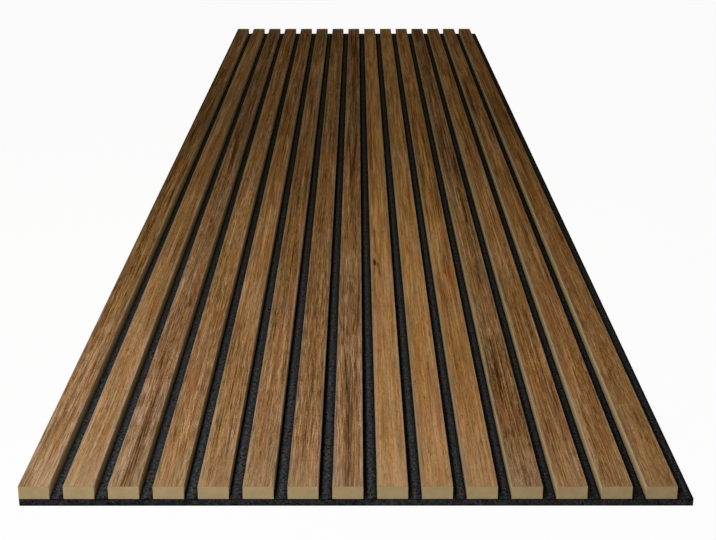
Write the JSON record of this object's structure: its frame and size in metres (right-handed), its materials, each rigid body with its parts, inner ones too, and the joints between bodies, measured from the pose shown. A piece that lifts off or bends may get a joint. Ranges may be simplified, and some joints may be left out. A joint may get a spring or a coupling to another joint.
{
  "type": "acoustic slat wall panel",
  "caption": "Long rectangular wall panel: parallel veneered wood slats with even open slots between them, stapled to a dark felt backing that absorbs sound.",
  "frame": {"origin": "centre of the felt's back face, which goes on the wall; the panel is modelled lying on that face", "axes": "+X across the slats towards the bare joint margin, +Y along the slats, +Z out of the wall towards the room"},
  "size_m": [0.6026, 2.4, 0.0195],
  "materials": {
    "felt": "matt needled polyester felt, charcoal",
    "mdf": "raw sawn medium-density fibreboard",
    "veneer": "oiled walnut veneer, satin",
    "staple_wire": "galvanised flat wire"
  },
  "bodies": {
    "root": {"felt_backing": "felt", "back_staples": "staple_wire", "slat_core_01": "mdf", "slat_core_02": "mdf", "slat_core_03": "mdf", "slat_core_04": "mdf", "slat_core_05": "mdf", "slat_core_06": "mdf", "slat_core_07": "mdf", "slat_core_08": "mdf", "slat_core_09": "mdf", "slat_core_10": "mdf", "slat_core_11": "mdf", "slat_core_12": "mdf", "slat_core_13": "mdf", "slat_core_14": "mdf", "slat_core_15": "mdf", "slat_veneer_01": "veneer", "slat_veneer_02": "veneer", "slat_veneer_03": "veneer", "slat_veneer_04": "veneer", "slat_veneer_05": "veneer", "slat_veneer_06": "veneer", "slat_veneer_07": "veneer", "slat_veneer_08": "veneer", "slat_veneer_09": "veneer", "slat_veneer_10": "veneer", "slat_veneer_11": "veneer", "slat_veneer_12": "veneer", "slat_veneer_13": "veneer", "slat_veneer_14": "veneer", "slat_veneer_15": "veneer"}
  },
  "joints": []
}
